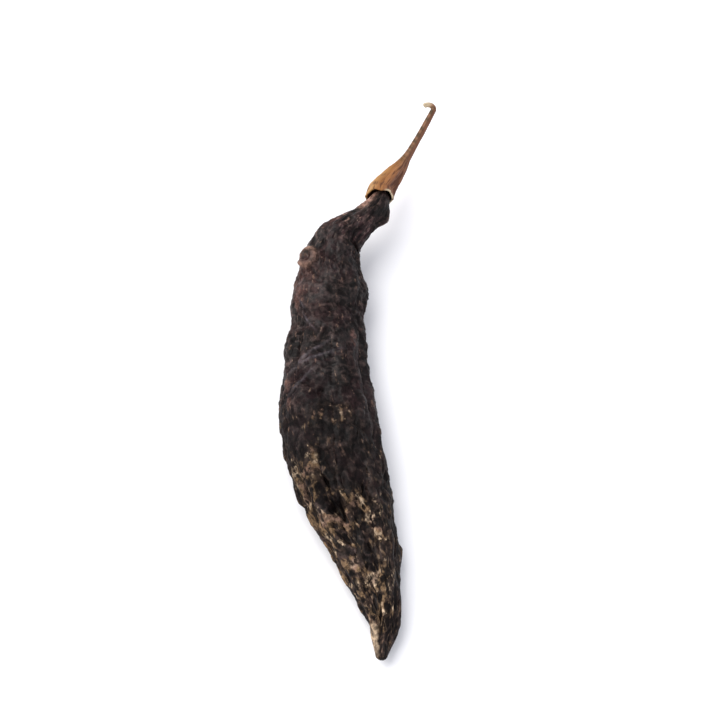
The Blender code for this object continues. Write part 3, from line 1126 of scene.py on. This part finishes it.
    # A waxy sheen where nothing has worn
    dull = make.most(flecked, bare, times(worn, 0.7))
    satin = ramped(make.noise(place, 200.0, 2.0, 0.5, 4.0), 0.38, 0.62, 0.10, 0.28)
    waxy = times(satin, make.minus(1.0, dull), ramped(line, 0.0, 0.8, 0.5, 1.0))
    waxy = times(waxy, ramped(lower, 0.0, 1.0, 1.0, 0.7), make.times_plus(duller, -0.45, 1.0))
    make.tree.links.new(make.times_plus(lit, 0.25, waxy), shader.inputs["Coat Weight"])
    rough = make.add("ShaderNodeMix", {0: dull, 2: 0.55, 3: 0.85}).outputs[0]
    make.tree.links.new(rough, shader.inputs["Roughness"])
    shader.inputs["Coat Roughness"].default_value = 0.32
    shader.inputs["Specular IOR Level"].default_value = 0.05

    # Its grain, with the flecks standing up a little
    coarse = make.group(grain, Place=place, Size=look.grain_size)
    fine = make.group(grain, Place=place, Size=look.grain_size * 0.4, Seed=3.0)
    height = make.times_plus(flecked, 0.5, make.times_plus(fine, 0.3, coarse))
    make.bump(shader, 0.9, look.grain_depth, height)
    return material


def wood_material(look):
    """Dry stalk: orange-brown at the calyx and tan towards the hook, with darker fibres, a painted
    highlight on its left, and painted shade on its right, under the calyx rim and in its cup.
    """
    material, make, shader = new_material("stem_wood")
    times, ramped = make.times, make.ramped
    place = make.add("ShaderNodeTexCoord").outputs["Object"]
    fibre_place = make.fact("fibre_place", "Vector")
    along, fibre = make.fact("along"), make.fact("fibre")
    rightness, upness = make.fact("rightness"), make.fact("upness")

    # A banded stalk, a cone that is golden at its lit left and flushed at its shaded right, partly
    # painted highlight and painted shade, and a pale hook
    winding = make.combined(0.0, 0.0, make.times_plus(rightness, 0.0006, along))
    bands = ramped(make.noise(winding, 420.0, 2.0, 0.6, 4.0), 0.44, 0.56)
    stalk = make.mixed(bands, colour(look.stalk), colour(look.olive))
    base = make.mixed(ramped(along, 0.009, 0.017), colour(look.calyx), stalk)
    # The cone's left near the rim is golden: partly its own colour, partly a painted highlight
    golden = times(ramped(rightness, -0.1, -0.75), ramped(along, 0.012, 0.005), 0.8)
    base = make.mixed(golden, base, colour(look.golden))
    # The right side is flushed pink and darker: partly its own colour, partly painted shade
    base = make.mixed(times(ramped(rightness, 0.0, 0.7), 0.8), base, colour(look.flush))
    base = make.mixed(ramped(along, 0.0342, 0.0362), base, colour(look.end))

    # Dark fibres, most of them on the cone's shaded right, where they are partly painted shade,
    # and painted shade of a fold under its rim
    streaks = make.noise(fibre_place, 1.1, 2.0, 0.55, 6.0)
    # More dark fibres on the shaded right: partly its own marks, partly painted shade
    dark_from = ramped(rightness, -0.8, 0.7, 0.42, 0.56)
    dark = ramped(streaks, dark_from, make.minus(dark_from, 0.12), 0.0, 0.9)
    cone = ramped(along, 0.016, 0.010)
    dark = times(dark, ramped(cone, 0.0, 1.0, 0.45, 1.0))
    # Painted shade of a fold, in a band under the rim
    painted_fold_shade = times(ramped(along, 0.0012, 0.0018), ramped(along, 0.0029, 0.0021))
    painted_fold_shade = times(painted_fold_shade, ramped(streaks, 0.60, 0.42, 0.1, 0.8))
    dark = make.most(dark, ramped(fibre, 0.42, 0.30, 0.0, 0.7), painted_fold_shade)
    base = make.mixed(dark, base, colour(look.dark))

    # The pale lip of the calyx at its right, and painted shade inside its cup
    lip = times(ramped(along, 0.0005, 0.0001), ramped(along, -0.0007, -0.0003))
    lip = times(lip, ramped(rightness, 0.25, 0.6), ramped(streaks, 0.36, 0.46), 0.9)
    base = make.mixed(lip, base, colour(look.end))
    # Painted shade inside the cup, lighter and redder towards its left and lower side
    redder = times(ramped(rightness, 0.2, -0.5), ramped(upness, 0.9, 0.2))
    hollow = make.mixed(redder, colour(look.inside), colour(look.dark))
    base = make.mixed(ramped(along, -0.00005, -0.0006), base, hollow)
    make.tree.links.new(base, shader.inputs["Base Color"])

    rough = ramped(streaks, 0.35, 0.65, 0.72, 0.52)
    make.tree.links.new(rough, shader.inputs["Roughness"])
    shader.inputs["Specular IOR Level"].default_value = 0.2
    fine = make.noise(fibre_place, 5.0, 2.0, 0.6, 9.0)
    rasp = make.group(shared(grain_group), Place=place, Size=0.0004)
    make.bump(shader, 0.7, 0.00012, make.times_plus(rasp, 0.3, fine))
    return material


class PodLook(bpy.types.PropertyGroup):
    """Sizes and colours of the pod's skin."""

    skin: FloatVectorProperty(
        name="Skin", description="The skin in its hollows",
        subtype="COLOR", min=0, max=1, default=(0.0044, 0.0028, 0.0024),
    )
    # Painted shade for the hollows of the rough lower part
    painted_hollow_shade: FloatVectorProperty(
        name="Skin shade", description="Painted shade in the hollows of the rough lower part",
        subtype="COLOR", min=0, max=1, default=(0.0022, 0.0015, 0.0013),
    )
    flush: FloatVectorProperty(
        name="Flush", description="The purplish blotches",
        subtype="COLOR", min=0, max=1, default=(0.0115, 0.0055, 0.0058),
    )
    worn: FloatVectorProperty(
        name="Worn", description="The olive-brown, worn ridges of the lower part",
        subtype="COLOR", min=0, max=1, default=(0.030, 0.0190, 0.0128),
    )
    # The crests' browner tone, with a painted highlight on them
    crest: FloatVectorProperty(
        name="Crest", description="The browner tops of the wrinkles, with a painted highlight",
        subtype="COLOR", min=0, max=1, default=(0.062, 0.040, 0.035),
    )
    rubbed: FloatVectorProperty(
        name="Rubbed", description="The rubbed skin round the knob and at the mouth of the calyx",
        subtype="COLOR", min=0, max=1, default=(0.19, 0.112, 0.082),
    )
    fleck: FloatVectorProperty(
        name="Fleck", description="The dry tan flecks",
        subtype="COLOR", min=0, max=1, default=(0.170, 0.108, 0.060),
    )
    # Partly a painted highlight, for the flecks and the painted glints
    pale_fleck: FloatVectorProperty(
        name="Pale fleck", description="The palest of the flecks, partly a painted highlight",
        subtype="COLOR", min=0, max=1, default=(0.50, 0.37, 0.25),
    )
    pink_fleck: FloatVectorProperty(
        name="Pink fleck", description="The pinkish ones among the flecks",
        subtype="COLOR", min=0, max=1, default=(0.19, 0.112, 0.092),
    )
    # Also the colour of the painted purplish highlight on the lit left of the upper part
    blotch: FloatVectorProperty(
        name="Blotch", description="The redder blotches",
        subtype="COLOR", min=0, max=1, default=(0.085, 0.042, 0.034),
    )
    # A painted highlight for the tops of the thin raised creases
    lit: FloatVectorProperty(
        name="Lit", description="Painted highlight along the tops of the thin creases",
        subtype="COLOR", min=0, max=1, default=(0.060, 0.048, 0.056),
    )
    fleck_width: FloatProperty(
        name="Fleck width", description="How wide a fleck is",
        unit="LENGTH", min=0.0001, default=0.0013,
    )
    fleck_share: FloatProperty(
        name="Fleck share", description="How much of the lower half is flecked",
        subtype="FACTOR", min=0, max=1, default=0.68,
    )
    few_flecks: FloatProperty(
        name="Few flecks", description="How much of the upper half is flecked",
        subtype="FACTOR", min=0, max=1, default=0.16,
    )
    # The share of the skin with small painted glints
    painted_glint_share: FloatProperty(
        name="Glint share", description="How much of the whole skin has small painted glints",
        subtype="FACTOR", min=0, max=1, default=0.42,
    )
    fold_depth: FloatProperty(
        name="Fold depth", description="How deep the broad folds are",
        unit="LENGTH", min=0, default=0.0007,
    )
    fold_width: FloatProperty(
        name="Fold width", description="How wide the broad folds are",
        unit="LENGTH", min=0.0005, default=0.0052,
    )
    wrinkle_depth: FloatProperty(
        name="Wrinkle depth", description="How deep the wrinkles are",
        unit="LENGTH", min=0, default=0.00065,
    )
    wrinkle_width: FloatProperty(
        name="Wrinkle width", description="How wide the wrinkles are",
        unit="LENGTH", min=0.0003, default=0.0024,
    )
    crinkle_depth: FloatProperty(
        name="Crinkle depth", description="How deep the finest wrinkles are",
        unit="LENGTH", min=0, default=0.00032,
    )
    crinkle_width: FloatProperty(
        name="Crinkle width", description="How wide the finest wrinkles are",
        unit="LENGTH", min=0.0002, default=0.0013,
    )
    knob_ring: FloatProperty(
        name="Knob ring", description="How far the ring round the knob's hollow stands up",
        unit="LENGTH", min=0, default=0.0004,
    )
    lit_crease: FloatProperty(
        name="Lit crease", description="How far the thin creases that catch the light stand up",
        unit="LENGTH", min=0, default=0.00025,
    )
    grain_size: FloatProperty(
        name="Grain size", description="How large the grain of the skin is",
        unit="LENGTH", min=0.0001, default=0.0010,
    )
    grain_depth: FloatProperty(
        name="Grain depth", description="How deep the grain of the skin is",
        unit="LENGTH", min=0, default=0.00017,
    )
    seed: IntProperty(name="Seed", description="Which wrinkles it has", default=4)


class StemLook(bpy.types.PropertyGroup):
    """Sizes and colours of the stem."""

    calyx: FloatVectorProperty(
        name="Calyx", description="The orange-brown cone",
        subtype="COLOR", min=0, max=1, default=(0.26, 0.108, 0.033),
    )
    # Partly a painted highlight on the lit left
    golden: FloatVectorProperty(
        name="Golden", description="The golden left side, partly a painted highlight",
        subtype="COLOR", min=0, max=1, default=(0.42, 0.235, 0.085),
    )
    # Partly painted shade on the right side
    flush: FloatVectorProperty(
        name="Flush", description="The pinkish right side, darkened with painted shade",
        subtype="COLOR", min=0, max=1, default=(0.17, 0.070, 0.038),
    )
    stalk: FloatVectorProperty(
        name="Stalk", description="The thin part",
        subtype="COLOR", min=0, max=1, default=(0.21, 0.105, 0.056),
    )
    olive: FloatVectorProperty(
        name="Olive", description="The olive-brown bands of the thin part",
        subtype="COLOR", min=0, max=1, default=(0.082, 0.050, 0.025),
    )
    end: FloatVectorProperty(
        name="End", description="The pale hook and the lip of the calyx",
        subtype="COLOR", min=0, max=1, default=(0.56, 0.45, 0.30),
    )
    dark: FloatVectorProperty(
        name="Dark fibres", description="The darker fibres and specks",
        subtype="COLOR", min=0, max=1, default=(0.070, 0.026, 0.014),
    )
    # Painted shade for the inside of the calyx cup
    inside: FloatVectorProperty(
        name="Inside", description="Painted shade inside the calyx cup",
        subtype="COLOR", min=0, max=1, default=(0.014, 0.007, 0.004),
    )
    fibre_depth: FloatProperty(
        name="Fibre depth", description="How deep the fibres are",
        unit="LENGTH", min=0, default=0.00022,
    )
    fibres_round: FloatProperty(
        name="Fibres round", description="How many fibres there are round the stem, roughly",
        min=1, default=5.0,
    )
    fibre_length: FloatProperty(
        name="Fibre length", description="How long a fibre runs before it wanders",
        unit="LENGTH", min=0.0005, default=0.0042,
    )
    seed: IntProperty(name="Seed", description="Which fibres it has", default=2)


class StageLook(bpy.types.PropertyGroup):
    """The plain stage."""

    floor: FloatVectorProperty(
        name="Floor", description="The pale floor",
        subtype="COLOR", min=0, max=1, default=(0.88, 0.88, 0.89),
    )
    key_power: FloatProperty(
        name="Key light", description="Power of the soft light from the upper left, in watts",
        min=0, default=17.0,
    )
    fill_power: FloatProperty(
        name="Fill light", description="Power of the weak light from the right, in watts",
        min=0, default=1.5,
    )
    ambient: FloatProperty(
        name="Ambient", description="Strength of the light from all round",
        min=0, default=0.95,
    )
    zoom: FloatProperty(
        name="Zoom", description="How many times longer the lens is than the photograph's",
        min=1, default=2.35,
    )


class DressPod(bpy.types.Operator):
    """Make the wrinkled pod in place of the plain solid one"""

    bl_idname = "chilli.pod"
    bl_label = "Pod"

    def execute(self, context):
        look = context.scene.chilli_pod
        rings = [pod_ring(crowded(ring / POD_RINGS)) for ring in range(POD_RINGS + 1)]
        facts = {
            "along": [ring.along for ring in rings],
            "girth": [
                ROUND_GIRTH + GIRTH_FOLLOWS * ((ring.wide + ring.high) / 2 - ROUND_GIRTH)
                for ring in rings
            ],
            "fullness": [
                min(ring.high / FULL_RELIEF_HEIGHT, (POD_LENGTH - ring.along) / NECK_CALM, 1.0)
                for ring in rings
            ],
        }
        pod = closed_form(
            "pod_wrinkled",
            POD_SIDES,
            POD_RINGS,
            lambda ring, angle: pod_point(rings[ring].along, angle),
            facts,
        )
        values = chosen(look, POD_SIZES, skin_material(look))
        shape_by(pod, pod_skin_tree(wrinkle_field()), values)
        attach(pod, BODY)
        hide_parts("pod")
        return {"FINISHED"}


class DressStem(bpy.types.Operator):
    """Make the fibrous stem in place of the plain solid one"""

    bl_idname = "chilli.stem"
    bl_label = "Stem"

    def execute(self, context):
        look = context.scene.chilli_stem
        rings = stem_rings()
        stem = closed_form(
            "stem_fibrous",
            STEM_SIDES,
            len(rings) - 1,
            lambda ring, angle: stem_point(rings[ring], angle),
            {"along": [ring[3] for ring in rings]},
        )
        values = chosen(look, STEM_SIZES, wood_material(look))
        shape_by(stem, stem_skin_tree(), values)
        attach(stem, BODY)
        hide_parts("stem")
        return {"FINISHED"}


def softbox(name, place, aim, size, power, tint):
    """A square area light at a place, turned towards a point."""
    light = bpy.data.lights.new(name, "AREA")
    light.shape = "SQUARE"
    light.size = size
    light.energy = power
    light.color = tint
    lamp = bpy.data.objects.new(name, light)
    lamp.location = place
    lamp.rotation_euler = (Vector(aim) - lamp.location).to_track_quat("-Z", "Y").to_euler()
    bpy.context.scene.collection.objects.link(lamp)


class SetStage(bpy.types.Operator):
    """Make the floor, the lights and the camera"""

    bl_idname = "chilli.stage"
    bl_label = "Stage"

    def execute(self, context):
        look = context.scene.chilli_stage
        low, high = SOLID_BOX
        centre = (low + high) / 2

        # A pale floor, just under what lies on it
        bpy.ops.mesh.primitive_plane_add(size=FLOOR_SIZE, location=(0, 0, -FLOOR_DROP))
        floor = context.object
        floor.name = "floor"
        material, make, shader = new_material("floor_paint")
        place = make.add("ShaderNodeTexCoord").outputs["Object"]
        cloud = make.noise(place, 3.0, 2.0, 0.5, 0.0)
        darker = [channel * 0.98 for channel in look.floor]
        base = make.mixed(make.ramped(cloud, 0.3, 0.7), colour(look.floor), colour(darker))
        make.tree.links.new(base, shader.inputs["Base Color"])
        shader.inputs["Roughness"].default_value = 0.8
        floor.data.materials.append(material)

        # Soft light from the upper left, a weaker one from the right, and light all round, whose
        # strength as the camera sees it is set apart from how strongly it shines
        softbox("key", KEY_PLACE, centre, KEY_SIZE, look.key_power, KEY_TINT)
        softbox("fill", FILL_PLACE, centre, FILL_SIZE, look.fill_power, FILL_TINT)
        world = bpy.data.worlds.new("studio")
        world.use_nodes = True
        background = world.node_tree.nodes["Background"]
        background.inputs["Color"].default_value = colour(SKY)
        seen = Trees(world.node_tree)
        camera_ray = seen.add("ShaderNodeLightPath").outputs["Is Camera Ray"]
        strength = seen.add("ShaderNodeMix", {0: camera_ray, 2: look.ambient, 3: SKY_SEEN})
        world.node_tree.links.new(strength.outputs[0], background.inputs["Strength"])
        context.scene.world = world

        # The camera looks at the middle of what the photo shows, then turns to the fruit about
        # its own axes
        camera = bpy.data.objects.new("camera", bpy.data.cameras.new("camera"))
        back = Vector((0, -math.cos(CAMERA_ELEVATION), math.sin(CAMERA_ELEVATION)))
        camera.location = PHOTO_MIDDLE + back * CAMERA_DISTANCE
        facing = (-back).to_track_quat("-Z", "Y")
        to_fruit = facing.inverted() @ (centre - camera.location)
        facing @= Vector((0, 0, -1)).rotation_difference(to_fruit)
        camera.rotation_euler = facing.to_euler()
        camera.data.angle = 2 * math.atan(math.tan(PHOTO_FIELD / 2) / look.zoom)
        camera.data.clip_start = 0.01
        camera.data.clip_end = 20.0
        context.scene.collection.objects.link(camera)
        context.scene.camera = camera
        context.scene.view_settings.view_transform = "Standard"
        return {"FINISHED"}


class ChilliPanel(bpy.types.Panel):
    """The steps that make the chilli, in order"""

    bl_idname = "VIEW3D_PT_chilli"
    bl_label = "Dried chilli"
    bl_space_type = "VIEW_3D"
    bl_region_type = "UI"
    bl_category = "Chilli"

    def draw(self, context):
        for look in (
            context.scene.chilli_pod,
            context.scene.chilli_stem,
            context.scene.chilli_stage,
        ):
            box = self.layout.box()
            for name in look.__annotations__:
                box.prop(look, name)
        for step in STEPS:
            self.layout.operator(step.bl_idname)


LOOKS = {"chilli_pod": PodLook, "chilli_stem": StemLook, "chilli_stage": StageLook}
STEPS = (DressPod, DressStem, SetStage)


def register():
    for kind in (*LOOKS.values(), *STEPS, ChilliPanel):
        bpy.utils.register_class(kind)
    for name, kind in LOOKS.items():
        setattr(bpy.types.Scene, name, PointerProperty(type=kind))


def unregister():
    for name in LOOKS:
        delattr(bpy.types.Scene, name)
    for kind in (ChilliPanel, *reversed(STEPS), *reversed(LOOKS.values())):
        bpy.utils.unregister_class(kind)


def main():
    register()
    bpy.ops.chilli.pod()
    bpy.ops.chilli.stem()
    bpy.ops.chilli.stage()


if __name__ == "__main__":
    main()
